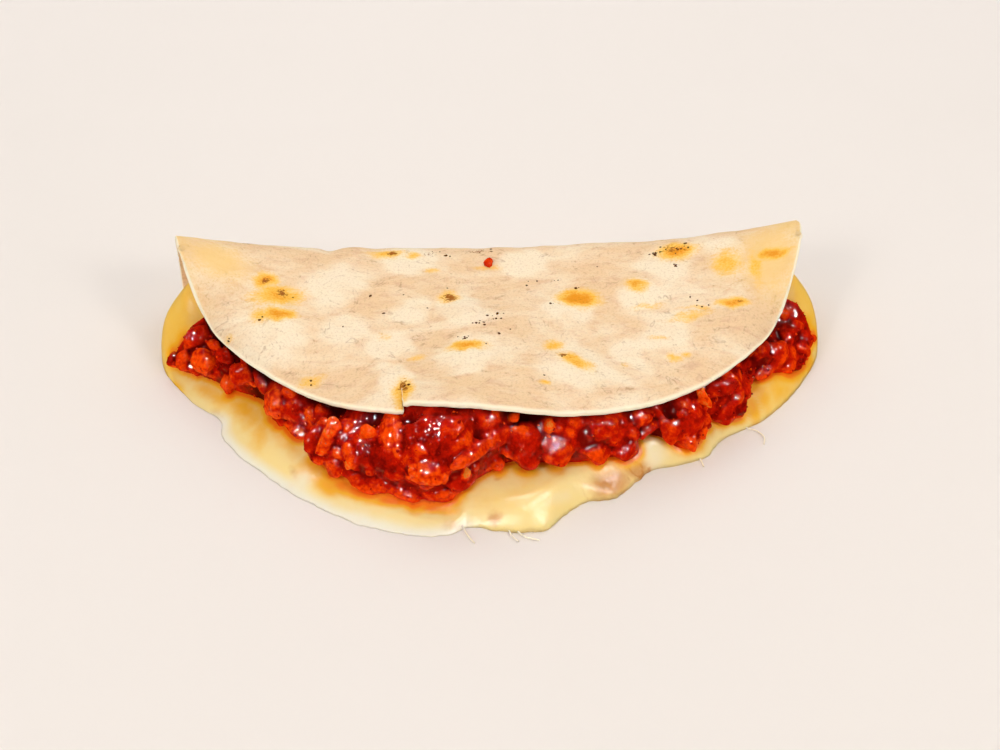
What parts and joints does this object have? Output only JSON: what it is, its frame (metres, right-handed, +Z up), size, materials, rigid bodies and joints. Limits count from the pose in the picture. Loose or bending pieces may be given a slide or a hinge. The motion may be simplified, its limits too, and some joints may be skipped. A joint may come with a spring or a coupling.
{
  "type": "folded quesadilla",
  "caption": "Folded flour tortilla with melted cheese and chopped red meat spilling from its open side.",
  "frame": {"origin": "middle of the footprint, on the surface that the food lies on", "axes": "+X along the fold, +Y from the open side to the fold, +Z up"},
  "size_m": [0.1702, 0.0886, 0.0287],
  "materials": {
    "tortilla": "dry griddled flour tortilla",
    "cheese": "glossy melted cheese",
    "meat": "oily red chopped meat"
  },
  "bodies": {
    "root": {"tortilla": "tortilla", "melted_cheese": "cheese", "meat_filling": "meat"}
  },
  "joints": []
}
